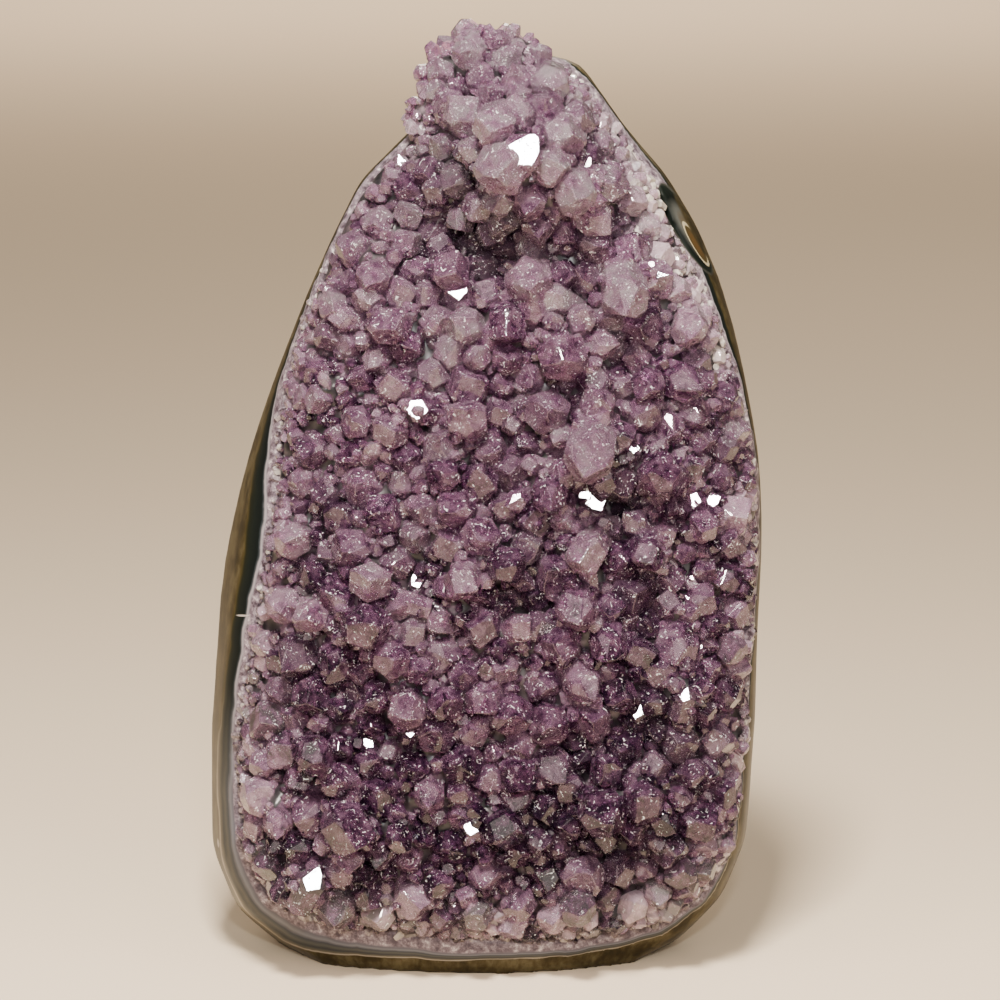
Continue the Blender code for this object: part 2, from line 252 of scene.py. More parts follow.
low_share = add(
    tree, "ShaderNodeMapRange", {1: 45 * MM, 2: 75 * MM, 3: 1.0, 4: 0.0}, s0=height
).outputs[0]
agate = add(
    tree, "ShaderNodeMix", {"data_type": "RGBA"},
    s0=low_share, s6=black.outputs["Color"], s7=blue.outputs["Color"],
).outputs[2]
grain = add(
    tree, "ShaderNodeTexNoise", {"Scale": 480.0, "Detail": 4.0, "Roughness": 0.72}, Vector=place
).outputs["Fac"]
quartz_share = add(
    tree, "ShaderNodeMapRange", {1: 0.33, 2: 0.4, 3: 1.0, 4: 0.0}, s0=bands
).outputs[0]
sugar = add(tree, "ShaderNodeValToRGB", Fac=grain)
set_stops(sugar, ((0.38, "#40363d"), (0.5, "#6c5f68"), (0.6, "#93868c"), (0.7, "#ded5d1")))
cut_quartz = add(tree, "ShaderNodeValToRGB", Fac=grain)
set_stops(cut_quartz, ((0.38, "#4c434b"), (0.5, "#6b6068"), (0.6, "#8c8187"), (0.72, "#cbc2c2")))
quartz = add(
    tree, "ShaderNodeMix", {"data_type": "RGBA"},
    s0=low_share, s6=sugar.outputs["Color"], s7=cut_quartz.outputs["Color"],
).outputs[2]
ringed = add(
    tree, "ShaderNodeMix", {"data_type": "RGBA"}, s0=quartz_share, s6=agate, s7=quartz
).outputs[2]

# The rind: olive-brown stone with faint upright streaks where it is polished, and earthy and
# speckled behind
mottle = add(
    tree, "ShaderNodeTexNoise", {"Scale": 110.0, "Detail": 6.0, "Roughness": 0.62}, Vector=place
).outputs["Fac"]
stretched = add(
    tree, "ShaderNodeVectorMath", {"operation": "MULTIPLY", 1: (1.0, 1.0, 0.12)}, s0=place
).outputs[0]
streaks = add(tree, "ShaderNodeTexNoise", {"Scale": 700.0, "Detail": 2.0}, Vector=stretched)
mixed = add(
    tree, "ShaderNodeMath", {"operation": "MULTIPLY_ADD", 1: 0.3},
    s0=streaks.outputs["Fac"], s2=mottle,
).outputs[0]
polished = add(tree, "ShaderNodeValToRGB", Fac=mixed)
set_stops(polished, (
    (0.5, "#272216"), (0.6, "#332c1c"), (0.68, "#413926"), (0.78, "#514934"), (0.9, "#3c3523"),
))
speckle = add(
    tree, "ShaderNodeTexNoise", {"Scale": 420.0, "Detail": 5.0, "Roughness": 0.75}, Vector=place
).outputs["Fac"]
patchy = add(
    tree, "ShaderNodeTexNoise", {"Scale": 30.0, "Detail": 3.0}, Vector=place
).outputs["Fac"]
mixed = add(
    tree, "ShaderNodeMath", {"operation": "MULTIPLY_ADD", 1: 0.6}, s0=patchy, s2=speckle
).outputs[0]
earthy = add(tree, "ShaderNodeValToRGB", Fac=mixed)
set_stops(earthy, (
    (0.62, "#29241c"), (0.72, "#4a4232"), (0.8, "#615743"), (0.9, "#7b7058"), (1.0, "#978c74"),
))
rind = add(
    tree, "ShaderNodeMix", {"data_type": "RGBA"},
    s0=dull, s6=polished.outputs["Color"], s7=earthy.outputs["Color"],
).outputs[2]
rind_share = add(
    tree, "ShaderNodeMapRange", {1: 0.68, 2: 0.72, 3: 0.0, 4: 1.0}, s0=bands
).outputs[0]
painted = add(
    tree, "ShaderNodeMix", {"data_type": "RGBA"},
    s0=rind_share, s6=ringed, s7=rind,
).outputs[2]

# The agate eye on the upper right of the rim: a black-green lens round a thin orange-brown heart
# with a cream edge. A pale crack crosses the black agate on the left, and low on the left there
# is a small chip.


def lens(centre, tilt, half_sizes):
    """How far out from a lens's centre a place lies, 1 on its outline.

    The half sizes run along the lens, in depth and across it; the tilt is in degrees, down to +X.
    """
    turned = add(
        tree, "ShaderNodeMapping",
        {"vector_type": "TEXTURE", "Location": centre, "Rotation": (0, math.radians(tilt), 0),
         "Scale": [size * MM for size in half_sizes]},
        Vector=place,
    )
    length = add(tree, "ShaderNodeVectorMath", {"operation": "LENGTH"}, s0=turned.outputs[0])
    return length.outputs["Value"]


EYE = Vector((52.4, 1, 193.8)) * MM
EYE_TILT = 58.3
eye_outer = lens(EYE, EYE_TILT, (14, 9, 3.7))
wavy = add(
    tree, "ShaderNodeMath", {"operation": "MULTIPLY_ADD", 1: 0.5}, s0=centred, s2=eye_outer
).outputs[0]
eye_ring = add(tree, "ShaderNodeValToRGB", Fac=wavy)
set_stops(eye_ring, (
    (0.0, "#5b4a30"), (0.25, "#4c4538"), (0.45, "#4b4c48"), (0.62, "#2a2c29"), (0.72, "#0f1311"),
    (0.9, "#151a16"), (0.97, "#3b3b36"),
))
eye_heart = lens(Vector((54.6, 1, 189.8)) * MM, EYE_TILT, (7.4, 6, 1.15))
heart = add(tree, "ShaderNodeValToRGB", Fac=eye_heart)
set_stops(heart, (
    (0.0, "#4d3a20"), (0.45, "#493820"), (0.78, "#3b3421"), (0.84, "#a59a7c"), (0.95, "#aca286"),
    (1.0, "#3a3a2c"),
))
heart_share = add(
    tree, "ShaderNodeMapRange", {1: 0.97, 2: 1.03, 3: 1.0, 4: 0.0}, s0=eye_heart
).outputs[0]
eye_share = add(
    tree, "ShaderNodeMapRange", {1: 0.98, 2: 1.04, 3: 1.0, 4: 0.0}, s0=eye_outer
).outputs[0]
eye_paint = add(
    tree, "ShaderNodeMix", {"data_type": "RGBA"},
    s0=heart_share, s6=eye_ring.outputs["Color"], s7=heart.outputs["Color"],
).outputs[2]
crack = lens(Vector((-64.3, -14.5, 93.8)) * MM, -11.5, (2.4, 4, 0.26))
chip = lens(Vector((-72, -8, 30.3)) * MM, -78.5, (1.8, 2.5, 0.7))
nearest = add(tree, "ShaderNodeMath", {"operation": "MINIMUM"}, s0=crack, s1=chip).outputs[0]
flaw_share = add(
    tree, "ShaderNodeMapRange", {1: 0.7, 2: 1.1, 3: 0.8, 4: 0.0}, s0=nearest
).outputs[0]
flawed = add(
    tree, "ShaderNodeMix", {"data_type": "RGBA", 7: linear("#b5aca6")}, s0=flaw_share, s6=painted
).outputs[2]
outer_edge = lens(Vector((56.5, 5, 191)) * MM, EYE_TILT, (14.5, 8, 2.1))
edge_share = add(
    tree, "ShaderNodeMapRange", {1: 0.85, 2: 1.05, 3: 1.0, 4: 0.0}, s0=outer_edge
).outputs[0]
eye_paint = add(
    tree, "ShaderNodeMix", {"data_type": "RGBA"}, s0=edge_share, s6=eye_paint, s7=rind
).outputs[2]
front_share = add(tree, "ShaderNodeMapRange", {1: 0.0, 2: 0.2, 3: 1.0, 4: 0.0}, s0=dull).outputs[0]
eye_front = add(
    tree, "ShaderNodeMath", {"operation": "MULTIPLY"}, s0=eye_share, s1=front_share
).outputs[0]
with_eye = add(
    tree, "ShaderNodeMix", {"data_type": "RGBA"}, s0=eye_front, s6=flawed, s7=eye_paint
).outputs[2]
tree.links.new(with_eye, surface.inputs["Base Color"])

# Polished in front and round the sides, dull and pitted behind
gloss = add(tree, "ShaderNodeMapRange", {1: 0.0, 2: 1.0, 3: 0.34, 4: 0.72}, s0=dull).outputs[0]
tree.links.new(gloss, surface.inputs["Roughness"])
surface.inputs["Specular IOR Level"].default_value = 0.08
pits = add(
    tree, "ShaderNodeTexNoise", {"Scale": 260.0, "Detail": 3.0, "Roughness": 0.6}, Vector=place
)
pit_depth = add(tree, "ShaderNodeMapRange", {1: 0.0, 2: 1.0, 3: 0.03, 4: 0.8}, s0=dull).outputs[0]
bumps = add(
    tree, "ShaderNodeBump", {"Distance": 0.8 * MM}, Strength=pit_depth, Height=pits.outputs["Fac"]
)
tree.links.new(bumps.outputs[0], surface.inputs["Normal"])
finish_piece(shell, stone, "polished_stone_shell")

# The quartz bed
# The ground layer of milky quartz that the crystals stand in. It grew as the crystals did and
# shows only between them. It is painted dark grey to near black, as painted shade in the gaps.

milky, tree, surface = new_material("quartz_bed_painted_shade")
place = add(tree, "ShaderNodeTexCoord").outputs["Object"]
mottle = add(tree, "ShaderNodeTexNoise", {"Scale": 260.0, "Detail": 4.0}, Vector=place)
colours = add(tree, "ShaderNodeValToRGB", Fac=mottle.outputs["Fac"])
# Near black to dark grey: painted shade between the crystals
set_stops(colours, ((0.35, "#17171a"), (0.55, "#3a3438"), (0.7, "#6a5a62")))
tree.links.new(colours.outputs["Color"], surface.inputs["Base Color"])
surface.inputs["Roughness"].default_value = 0.3
finish_piece(bed, milky, "amethyst_crystal_crust")

# The large crystals
# Six-sided amethyst crystals that grew from the bed until they met. Each ends in three large
# and three small faces that slope at 51.8 degrees, with edges softened by a hair.

TIP_SLOPE = math.radians(51.8)
LARGE_CRYSTALS_MM = (
    (4, 214, 8.2), (19, 221, 6.6), (22, 207, 7.1), (-9, 226, 5.3), (1, 230, 4.4), (16, 233, 5.8),
    (-4, 239.5, 5), (5, 238, 4.4), (-12, 235, 4.2), (13, 239, 4.4), (-13, 229, 4),
    (11, 183, 7.4), (5, 173, 5.8), (19, 165, 7.4), (35, 182, 7.9), (-40, 176, 5),
    (41, 157, 5.5), (-11, 134, 5.5), (-8, 126, 5.8), (-2, 119, 5.8), (-6, 109, 5.3), (4, 112, 5.8),
    (-27, 124, 5.6), (-35, 115, 6.6), (-30, 107, 6.6), (16, 130, 5.8), (26, 141, 7.9),
    (26, 115, 5.8),
    (41, 114, 5), (56, 120, 5), (45, 134, 6.6), (23, 100, 6.3), (31, 91, 5.8), (63, 87, 5),
    (24, 81, 5), (-45, 98, 5.3), (-32, 96, 6.6), (-25, 87, 5.5), (-21, 75, 5.8),
    (-11, 76, 5.5), (-1, 77, 5), (-45, 62, 5.4), (-15, 52, 5.4), (-36, 44, 7.9), (-23, 41, 4.8),
    (29, 48, 7.4), (40, 50, 6.4), (-3, 19, 4.4), (13, 40, 4.2), (23, 21, 5.3),
    (50, 29, 5), (-5, 148, 6.3), (-26, 172, 5.8), (52, 171, 5.8), (-50, 116, 5.3),
    (8, 57, 5.8),
)
# Crystals with a face that mirrors the lamp: that face's x and z, the crystal's radius, and the
# way it leans, in degrees round from +X
GLINTING_CRYSTALS_MM = (
    (11.5, 220, 6.4, 48), (-8, 183, 4.6, 95), (-20.5, 151, 4.2, 170), (24, 130.5, 3.6, 120),
    (29, 124, 4, 300), (37, 142, 3, 90), (-44, 31, 4.6, 60), (39, 73.5, 3.6, 80),
    (51.5, 126, 3.2, 170), (60, 126, 2.8, 20), (-6, 43, 3, 160), (-19, 107.5, 2.8, 110),
    (51.5, 79, 3.4, 75), (30, 202, 2.8, 100), (-20, 69, 2.6, 90), (-32, 65, 2.4, 140),
    (2, 228, 2.6, 70), (-23, 213, 2.4, 110),
)


def crystal_shape(chance, bevel):
    """A crystal of radius 1 with its shoulder near height 0, as points and faces."""
    bm = bmesh.new()
    bmesh.ops.create_cone(bm, cap_ends=True, segments=6, radius1=0.84, radius2=1.02, depth=4)
    apothem = math.cos(math.pi / 6)
    for face in range(6):
        turn = math.radians(30 + 60 * face)
        slope = TIP_SLOPE + chance.uniform(-0.05, 0.05)
        normal = Vector((math.sin(slope), 0, math.cos(slope)))
        normal.rotate(Matrix.Rotation(turn, 3, "Z"))
        level = apothem * math.tan(slope) * (1 + 0.22 * (face % 2) + chance.uniform(-0.12, 0.12))
        everything = bm.verts[:] + bm.edges[:] + bm.faces[:]
        cut = bmesh.ops.bisect_plane(
            bm, geom=everything, plane_co=(0, 0, level), plane_no=normal, clear_outer=True
        )
        rim = [part for part in cut["geom_cut"] if isinstance(part, bmesh.types.BMEdge)]
        bmesh.ops.contextual_create(bm, geom=rim)
    if bevel:
        foot = min(bm.faces, key=lambda face: face.calc_center_median().z)
        edges = [edge for edge in bm.edges if foot not in edge.link_faces]
        bmesh.ops.bevel(
            bm, geom=edges, offset=bevel, affect="EDGES", segments=1, profile=0.5,
            material=-1, clamp_overlap=True,
        )
    bmesh.ops.remove_doubles(bm, verts=bm.verts, dist=0.004)
    bm.verts.index_update()
    points = [vert.co.copy() for vert in bm.verts]
    faces = [[vert.index for vert in face.verts] for face in bm.faces]
    bm.free()
    return points, faces


def faces_of(piece, wanted):
    """The wanted faces of a piece, and how far along their total area each one ends."""
    faces, ends = [], []
    for face in piece.data.polygons:
        if wanted(face):
            faces.append(([piece.data.vertices[i].co for i in face.vertices], face.normal))
            ends.append(face.area + (ends[-1] if ends else 0))
    return faces, ends


def looks_out(face):
    """Whether a face of the bed looks out of the shell and not at its wall."""
    start = face.center + face.normal * 0.2 * MM
    return shell_tree.ray_cast(start, face.normal, 9 * MM)[0] is None


open_bed = faces_of(bed, looks_out)


def cell_of(spot, size):
    return tuple(math.floor(value / size) for value in spot)


def is_clear(taken, spot, radius, spacing, size):
    """Whether a crystal fits beside the ones already standing near it."""
    home = cell_of(spot, size)
    for step in range(27):
        key = (home[0] + step % 3 - 1, home[1] + step // 3 % 3 - 1, home[2] + step // 9 - 1)
        for other, reach in taken.get(key, ()):
            if (spot - other).length < (radius + reach) * spacing:
                return False
    return True


# Where the quartz is whitish: x, z, reach and how whitish, up to 1
WHITISH_PATCHES_MM = (
    (-63, 118, 10, 0.5), (-65, 95, 13, 0.6), (-66, 70, 14, 0.5), (-67, 48, 14, 0.4),
    (-62, 27, 13, 0.4), (-46, 17, 10, 0.5), (-24, 15, 9, 0.8), (0, 14, 9, 0.8), (22, 15, 9, 0.8),
    (42, 18, 9, 0.8), (58, 28, 9, 0.8), (68, 60, 6, 0.8), (70, 88, 6, 0.8), (68, 122, 5, 0.8),
    (39, 212, 6, 1), (42, 205, 8, 1), (45, 196, 7, 1), (49, 187, 6, 1), (53, 177, 6, 0.9),
    (60, 162, 6, 0.9), (12, 246, 4, 0.6), (33, 222, 5, 0.7),
)


def paleness(spot):
    """How whitish the quartz is at a spot, from 0 to 1."""
    share = 0
    for x, z, reach, whitish in WHITISH_PATCHES_MM:
        away = math.hypot(spot.x - x * MM, spot.z - z * MM) / (reach * MM)
        share = max(share, whitish * math.exp(-away * away))
    return share


def is_on_eye(spot):
    """Whether a spot, seen from the front, lies on the agate eye, which stays bare."""
    away = Matrix.Rotation(-math.radians(EYE_TILT), 3, "Y") @ flat(spot - EYE)
    return math.hypot(away.x / (14.5 * MM), away.z / (4.2 * MM)) < 1


def is_top_lump(spot):
    """Whether a spot lies on the lump at the top, which leans out over the rim."""
    return spot.z > 218 * MM and spot.x < 12 * MM


def scattered(chance, ground, taken, tries, radii, spacing, size):
    """Random spots on some faces, none too near another: spot, normal, radius and no set lean."""
    spots = []
    for _ in range(tries):
        corners, normal = chance.choices(ground[0], cum_weights=ground[1])[0]
        a, b = chance.random(), chance.random()
        if a + b > 1:
            a, b = 1 - a, 1 - b
        spot = corners[0] + (corners[1] - corners[0]) * a + (corners[2] - corners[0]) * b
        radius = radii[0] + (radii[1] - radii[0]) * chance.random() ** 1.3
        to_rim = rim_edge.find(flat(spot))[2]
        pale = paleness(spot)
        limit = min((0.9 - 0.3 * pale) * to_rim + 1.2 * MM, 9 * MM - 5.4 * MM * pale)
        if is_top_lump(spot):
            limit = 9 * MM if spot.x > -11 * MM else 2.6 * MM
        elif side_edge.find(flat(spot))[2] < radius + 1.2 * MM:
            continue
        if is_on_eye(spot) or radius > limit:
            continue
        if is_clear(taken, spot, radius, spacing, size):
            taken.setdefault(cell_of(spot, size), []).append((spot, radius))
            spots.append((spot, normal, radius, None))
    return spots


# Where painted shade is darkest, in the hollows between the crystals: x, z, reach
SHADED_HOLLOWS_MM = (
    (-9, 210, 11), (3, 196, 10), (-40, 125, 6), (-19, 114, 6), (10, 113, 6), (32, 131, 9),
    (41, 104, 7), (44, 71, 9), (24, 60, 7), (50, 61, 8), (17, 44, 8), (35, 37, 10), (-47, 88, 6),
)


def hollow_shade(spot):
    """Painted shade for a spot in a hollow, from 0 when level with the bed round it to 1."""
    around = []
    for step in range(6):
        turn = math.tau * step / 6
        start = Vector((spot.x + 15 * MM * math.cos(turn), -0.2, spot.z + 15 * MM * math.sin(turn)))
        hit = bed_tree.ray_cast(start, Vector((0, 1, 0)))[0]
        if hit:
            around.append(hit.y)
    level = sum(around) / len(around) if len(around) > 3 else spot.y
    depth = (spot.y - level) / (5 * MM)
    for x, z, reach in SHADED_HOLLOWS_MM:
        away = math.hypot(spot.x - x * MM, spot.z - z * MM) / (reach * MM)
        depth = max(depth, math.exp(-away * away))
    return min(max(depth, 0), 1)


# Where the camera and the front lamp stand, for turning the glinting crystals
CAMERA_SPOT = Vector((3.2 * MM, -1.231, 0.339))
LAMP_SPOT = Vector((0.05, -1.2, 0.55))


def mirror_turn(points, corners, spot, toward):
    """The turn that makes a tip face mirror the lamp, with the crystal leaning one way."""
    a, b, c = [points[i] for i in corners[:3]]
    normal = (b - a).cross(c - a)
    half = ((CAMERA_SPOT - spot).normalized() + (LAMP_SPOT - spot).normalized()).normalized()
    turn = normal.normalized().rotation_difference(half).to_matrix()
    side = Vector((math.cos(math.radians(toward)), 0, math.sin(math.radians(toward))))
    side = (side - half * side.dot(half)).normalized()
    axis = turn @ Vector((0, 0, 1))
    leaning = (axis - half * axis.dot(half)).normalized()
    spin = math.atan2(leaning.cross(side).dot(half), leaning.dot(side))
    return Matrix.Rotation(spin, 3, half) @ turn


def tip_face(points, skin):
    """The largest of a crystal's sloping tip faces."""
    def size(corners):
        a, b, c = [points[i] for i in corners[:3]]
        slope = (b - a).cross(c - a)
        spread = max((points[i] - a).length for i in corners)
        return spread if slope.normalized().z > 0.3 and slope.normalized().z < 0.9 else 0
    return max(skin, key=size)


def grow_crystals(name, spots, shapes, chance, scatter, rise):
    """Join one crystal per spot in one mesh, each with colour, paleness, painted light and shade.
    """
    points, faces, tones_and_painted_light, pales, painted_shades = [], [], [], [], []
    for spot, normal, radius, toward in spots:
        shape, skin = chance.choice(shapes)
        to_rim = rim_edge.find(flat(spot))[2]
        top_lump = is_top_lump(spot)
        calm = 1 if top_lump else min(to_rim / (14 * MM), 1)
        facing = normal * calm + Vector((0, -1, 0)) * (1.2 - calm)
        stray = Vector([chance.gauss(0, 1) for _ in range(3)]) * scatter
        axis = (facing.normalized() + stray).normalized()
        lift = radius * chance.uniform(*rise) * (0.4 + 0.6 * calm)
        turn = Vector((0, 0, 1)).rotation_difference(axis).to_matrix()
        turn = turn @ Matrix.Rotation(chance.uniform(0, math.tau), 3, "Z")
        turn = turn @ Matrix.Diagonal((1, chance.uniform(0.85, 1.15), 1))
        if toward is not None:
            turn = mirror_turn(shape, tip_face(shape, skin), spot, toward)
            axis, lift = turn @ Vector((0, 0, 1)), 0.5 * radius
        first = len(points)
        # Each crystal's colour varies at random, with painted light added: lighter higher up,
        # darker lower down
        tone_and_painted_light = chance.random() + 0.5 * (spot.z / (125 * MM) - 1)
        pale = min(paleness(spot) + 0.3 * math.exp(-to_rim / (3 * MM)), 1) * chance.uniform(0.25, 1)
        points.extend(spot + axis * lift + turn @ point * radius for point in shape)
        # Painted shade for crystals in hollows, weaker on large, pale and rim crystals, none on the
        # top lump
        shaded = 1 if radius < 4.3 * MM else 0.6
        painted_shades.extend(
            [0 if top_lump else hollow_shade(spot) * calm * (1 - pale) * shaded] * len(shape)
        )
        tones_and_painted_light.extend([tone_and_painted_light] * len(shape))
        pales.extend([pale] * len(shape))
        faces.extend([[first + i for i in corner] for corner in skin])
    mesh = bpy.data.meshes.new(name)
    mesh.from_pydata(points, [], faces)
    for key, values in (("tone_and_painted_light", tones_and_painted_light), ("pale", pales), ("painted_shade", painted_shades)):
        mesh.attributes.new(key, "FLOAT", "POINT").data.foreach_set("value", values)
    piece = bpy.data.objects.new(name, mesh)
    bpy.context.scene.collection.objects.link(piece)
    return piece


# The see-through purple quartz. Faint clouds and pale crystals give the soft, milky look, and the
# flat faces stay glossy for hard white glints.
amethyst, tree, surface = new_material("amethyst")
place = add(tree, "ShaderNodeTexCoord").outputs["Object"]
# This attribute varies at random and carries painted light, lighter towards the top
tone_and_painted_light = add(tree, "ShaderNodeAttribute", {"attribute_name": "tone_and_painted_light"}).outputs["Fac"]
pale = add(tree, "ShaderNodeAttribute", {"attribute_name": "pale"}).outputs["Fac"]
cloud = add(
    tree, "ShaderNodeTexNoise",
    {"Scale": 260.0, "Detail": 5.0, "Roughness": 0.78, "Distortion": 0.5}, Vector=place,
).outputs["Fac"]
mixed = add(
    tree, "ShaderNodeMath", {"operation": "MULTIPLY_ADD", 1: 0.22}, s0=tone_and_painted_light, s2=cloud
).outputs[0]
colours = add(tree, "ShaderNodeValToRGB", Fac=mixed)
set_stops(colours, (
    (0.4, "#341c3c"), (0.5, "#85527f"), (0.6, "#c390b8"), (0.74, "#efc6e2"), (0.84, "#fdeaf7"),
))
partly = add(tree, "ShaderNodeMath", {"operation": "MULTIPLY", 1: 0.75}, s0=pale).outputs[0]
blend = add(
    tree, "ShaderNodeMix", {"data_type": "RGBA", 7: linear("#efe6e0")},
    s0=partly, s6=colours.outputs["Color"],
)
# Crystals in hollows are mixed toward dark purple: painted shade
painted_shade = add(tree, "ShaderNodeAttribute", {"attribute_name": "painted_shade"}).outputs["Fac"]
painted_shade_share = add(tree, "ShaderNodeMath", {"operation": "MULTIPLY", 1: 0.9}, s0=painted_shade).outputs[0]
shade = add(
    tree, "ShaderNodeMix", {"data_type": "RGBA", 7: linear("#46304a")},
    s0=painted_shade_share, s6=blend.outputs[2],
)
# Tiny inner cracks as white flecks in the colour: painted highlights for the light they catch
crack_sparkle = add(
    tree, "ShaderNodeTexNoise",
    {"Scale": 800.0, "Detail": 3.0, "Roughness": 0.6, "Distortion": 1.6}, Vector=place,
).outputs["Fac"]
crack_sparkle_share = add(
    tree, "ShaderNodeMapRange", {1: 0.62, 2: 0.68, 3: 0.0, 4: 1.0}, s0=crack_sparkle
).outputs[0]
crack_sparkled = add(
    tree, "ShaderNodeMix", {"data_type": "RGBA", 7: linear("#ffffff")},
    s0=crack_sparkle_share, s6=shade.outputs[2],
)
milkiest = add(tree, "ShaderNodeMath", {"operation": "MAXIMUM"}, s0=crack_sparkle_share, s1=pale)
clear_share = add(
    tree, "ShaderNodeMapRange", {1: 0.0, 2: 1.0, 3: 0.87, 4: 0.35}, s0=milkiest.outputs[0]
).outputs[0]
tree.links.new(crack_sparkled.outputs[2], surface.inputs["Base Color"])
tree.links.new(clear_share, surface.inputs["Transmission Weight"])
surface.inputs["Roughness"].default_value = 0.06
surface.inputs["IOR"].default_value = 1.544
growth = add(tree, "ShaderNodeTexNoise", {"Scale": 900.0, "Detail": 1.0}, Vector=place)
ripples = add(
    tree, "ShaderNodeBump", {"Strength": 0.06, "Distance": 0.3 * MM}, Height=growth.outputs["Fac"]
)
tree.links.new(ripples.outputs[0], surface.inputs["Normal"])
absorb = add(tree, "ShaderNodeVolumeAbsorption", {"Density": 60.0, "Color": linear("#a06aa6")})
tree.links.new(absorb.outputs[0], tree.nodes["Material Output"].inputs["Volume"])

chance = random.Random(21)
taken = {}
large_spots = []
rows = [(*row, None) for row in LARGE_CRYSTALS_MM]
for x, z, radius, toward in GLINTING_CRYSTALS_MM:
    lean = math.radians(toward)
    rows.insert(0, (x - radius * math.cos(lean), z - radius * math.sin(lean), radius, toward))
for x, z, radius, toward in rows:
    start = Vector((x * MM, -0.2, z * MM))
    spot, normal, _, _ = bed_tree.ray_cast(start, Vector((0, 1, 0)))
    if spot is None:
        spot, normal, _, _ = bed_tree.find_nearest(Vector((x * MM, 0, z * MM)))
    large_spots.append((spot, normal, radius * MM, toward))
    taken.setdefault(cell_of(spot, 17 * MM), []).append((spot, radius * MM))
large_spots += scattered(chance, open_bed, taken, 9000, (4.4 * MM, 7 * MM), 0.7, 17 * MM)
shapes = [crystal_shape(chance, 0.035) for _ in range(16)]
large = grow_crystals("large_crystals", large_spots, shapes, chance, 0.16, (0.1, 0.8))
finish_piece(large, amethyst, "amethyst_crystal_crust")

# The medium crystals
# The close pack of the same amethyst between the large crystals. They grew from the same bed,
# but were crowded out before they got as large.

medium_spots = scattered(chance, open_bed, taken, 20000, (2.2 * MM, 4.2 * MM), 0.68, 17 * MM)
shapes = [crystal_shape(chance, 0.04) for _ in range(10)]
medium = grow_crystals("medium_crystals", medium_spots, shapes, chance, 0.28, (0.2, 1.2))
finish_piece(medium, amethyst, "amethyst_crystal_crust")

# The small crystals
# Fine crystals of the same amethyst, grown last or crowded out first. They fill the gaps between
# the others and run up to the rim.

small_spots = scattered(chance, open_bed, {}, 8000, (1 * MM, 2 * MM), 0.75, 5 * MM)
shapes = [crystal_shape(chance, 0) for _ in range(8)]
small = grow_crystals("small_crystals", small_spots, shapes, chance, 0.4, (0.4, 1.8))
finish_piece(small, amethyst, "amethyst_crystal_crust")

# The rim druse
# Sugary white quartz on the inner part of the rim, where the crystals run out on the polished
# stone. Its tiny crystals grew with the rest, but without the purple.

layer_values = [item.value for item in shell.data.attributes["layer"].data]


def is_quartz_rim(face):
    """Whether a face of the shell is front rim no further out than its quartz."""
    outermost = max(layer_values[i] for i in face.vertices)
    covered = bed_tree.ray_cast(face.center, Vector((0, -1, 0)))[0]
    return face.normal.y < -0.12 and outermost < 0.14 and covered is None


# Grains too small to tell apart scatter the light, so it looks white and only half clear
sugary, tree, surface = new_material("sugary_quartz")
place = add(tree, "ShaderNodeTexCoord").outputs["Object"]
# This attribute also carries painted light here, lighter towards the top
tone_and_painted_light = add(tree, "ShaderNodeAttribute", {"attribute_name": "tone_and_painted_light"}).outputs["Fac"]
grain = add(
    tree, "ShaderNodeTexNoise", {"Scale": 500.0, "Detail": 3.0, "Roughness": 0.7}, Vector=place
).outputs["Fac"]
mixed = add(
    tree, "ShaderNodeMath", {"operation": "MULTIPLY_ADD", 1: 0.3}, s0=tone_and_painted_light, s2=grain
).outputs[0]
colours = add(tree, "ShaderNodeValToRGB", Fac=mixed)
set_stops(colours, ((0.42, "#4b3d46"), (0.6, "#8f7e88"), (0.72, "#bfb1b5"), (0.82, "#fbf3ea")))
pale = add(tree, "ShaderNodeAttribute", {"attribute_name": "pale"}).outputs["Fac"]
cream_share = add(
    tree, "ShaderNodeMapRange", {1: 0.5, 2: 0.9, 3: 0.0, 4: 0.65}, s0=pale
).outputs[0]
creamy = add(
    tree, "ShaderNodeMix", {"data_type": "RGBA", 7: linear("#f6ecdd")},
    s0=cream_share, s6=colours.outputs["Color"],
)
tree.links.new(creamy.outputs[2], surface.inputs["Base Color"])
clear_share = add(
    tree, "ShaderNodeMapRange", {1: 0.0, 2: 1.0, 3: 0.5, 4: 0.2}, s0=cream_share
).outputs[0]
tree.links.new(clear_share, surface.inputs["Transmission Weight"])
surface.inputs["Roughness"].default_value = 0.1
surface.inputs["IOR"].default_value = 1.544
ripples = add(tree, "ShaderNodeBump", {"Strength": 0.5, "Distance": 0.3 * MM}, Height=grain)
tree.links.new(ripples.outputs[0], surface.inputs["Normal"])

rim_ground = faces_of(shell, is_quartz_rim)
druse_spots = scattered(chance, rim_ground, {}, 3000, (0.7 * MM, 2 * MM), 0.75, 5 * MM)
bed_spots = scattered(chance, open_bed, {}, 36000, (0.8 * MM, 2.2 * MM), 0.6, 6 * MM)
druse_spots += [spot for spot in bed_spots if paleness(spot[0]) > chance.uniform(0.35, 1.1)]
shapes = [crystal_shape(chance, 0) for _ in range(8)]
druse = grow_crystals("rim_druse", druse_spots, shapes, chance, 0.5, (-0.4, 1.2))
finish_piece(druse, sugary, "amethyst_crystal_crust")

# The stage
# A wide pale floor and soft light from both sides. Small lamps above and in front give the hard
# glints, and there is faint light behind and more on the far floor.

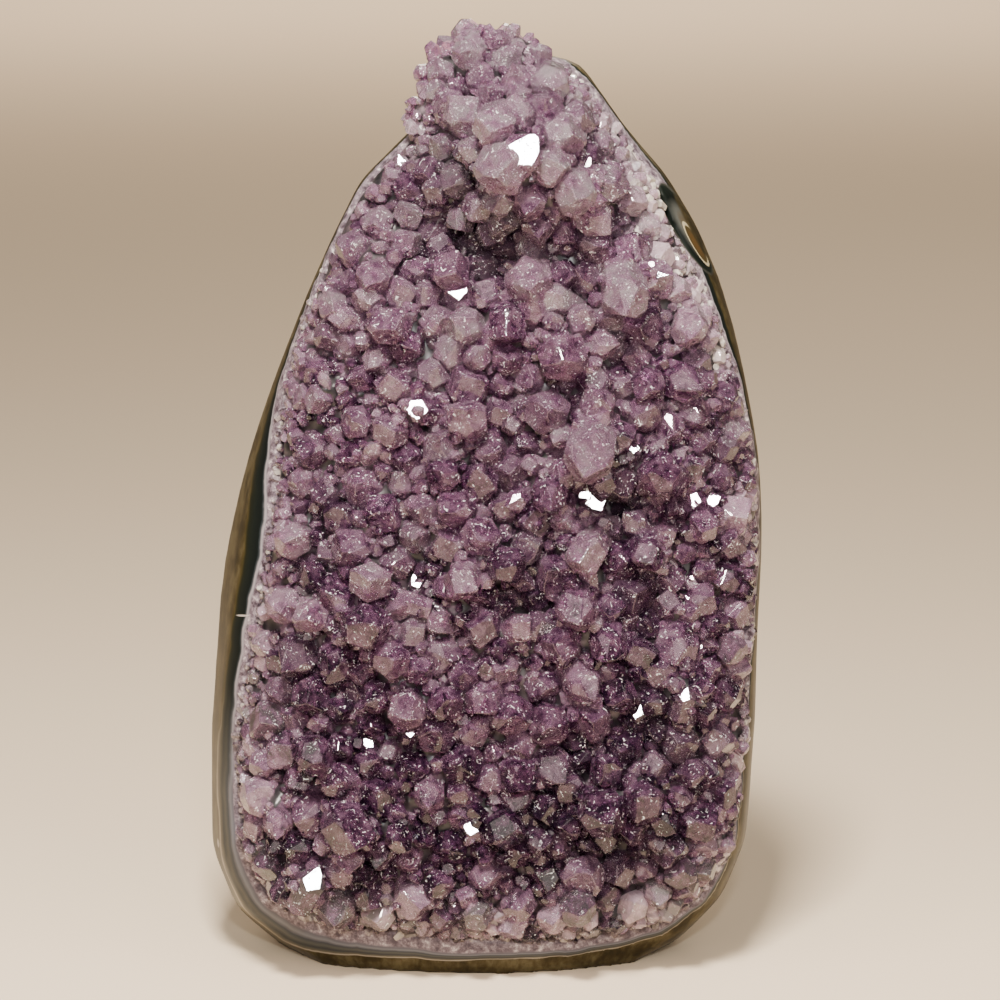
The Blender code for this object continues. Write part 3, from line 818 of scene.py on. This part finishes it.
floor_mesh = bpy.data.meshes.new("floor")
bm = bmesh.new()
bmesh.ops.create_grid(bm, x_segments=1, y_segments=1, size=12)
bm.to_mesh(floor_mesh)
bm.free()
floor = bpy.data.objects.new("floor", floor_mesh)
bpy.context.scene.collection.objects.link(floor)
floor_paint, tree, surface = new_material("pale_floor")
surface.inputs["Base Color"].default_value = linear("#f8e4c8")
surface.inputs["Roughness"].default_value = 0.9
surface.inputs["Specular IOR Level"].default_value = 0.1
floor.data.materials.append(floor_paint)


def area_light(name, spot, aim, size, power, colour):
    """A square lamp at a spot, turned to face what it lights."""
    lamp = bpy.data.lights.new(name, "AREA")
    lamp.size = size
    lamp.energy = power
    lamp.color = linear(colour)[:3]
    holder = bpy.data.objects.new(name, lamp)
    holder.location = spot
    holder.rotation_euler = (Vector(aim) - Vector(spot)).to_track_quat("-Z", "Y").to_euler()
    bpy.context.scene.collection.objects.link(holder)


area_light("upper_lamp", (-0.05, -0.45, 0.75), (0, 0, 0.2), 0.14, 15, "#fff6ea")
area_light("left_softbox", (-0.75, -0.95, 0.8), (0, 0, 0.1), 1.1, 9.5, "#fff4e6")
area_light("right_softbox", (0.75, -0.95, 0.8), (0, 0, 0.1), 1.1, 9.5, "#fff4e6")
area_light("rear_softbox", (0.4, 1.3, 1), (0, 0, 0.12), 0.9, 2, "#fff4e6")
area_light("floor_glow", (0, 3.8, 1.6), (0, 3.8, 0), 1.5, 48, "#ffeeda")
area_light("front_lamp", LAMP_SPOT, (0, 0, 0.12), 0.06, 5.5, "#ffffff")

world = bpy.data.worlds.new("room")
bpy.context.scene.world = world
world.use_nodes = True
world.node_tree.nodes["Background"].inputs["Color"].default_value = linear("#cbbba6")
world.node_tree.nodes["Background"].inputs["Strength"].default_value = 0.22

CAMERA_TILT = math.radians(10)
CAMERA_DISTANCE = 1.25
camera_data = bpy.data.cameras.new("camera")
camera_data.sensor_width = 36
camera_data.lens = 36 * CAMERA_DISTANCE / (264 * MM)
camera = bpy.data.objects.new("camera", camera_data)
away = Vector((0, -math.cos(CAMERA_TILT), math.sin(CAMERA_TILT)))
camera.location = Vector((3.2 * MM, 0, 122 * MM)) + away * CAMERA_DISTANCE
camera.rotation_euler = (-away).to_track_quat("-Z", "Y").to_euler()
bpy.context.scene.collection.objects.link(camera)
bpy.context.scene.camera = camera
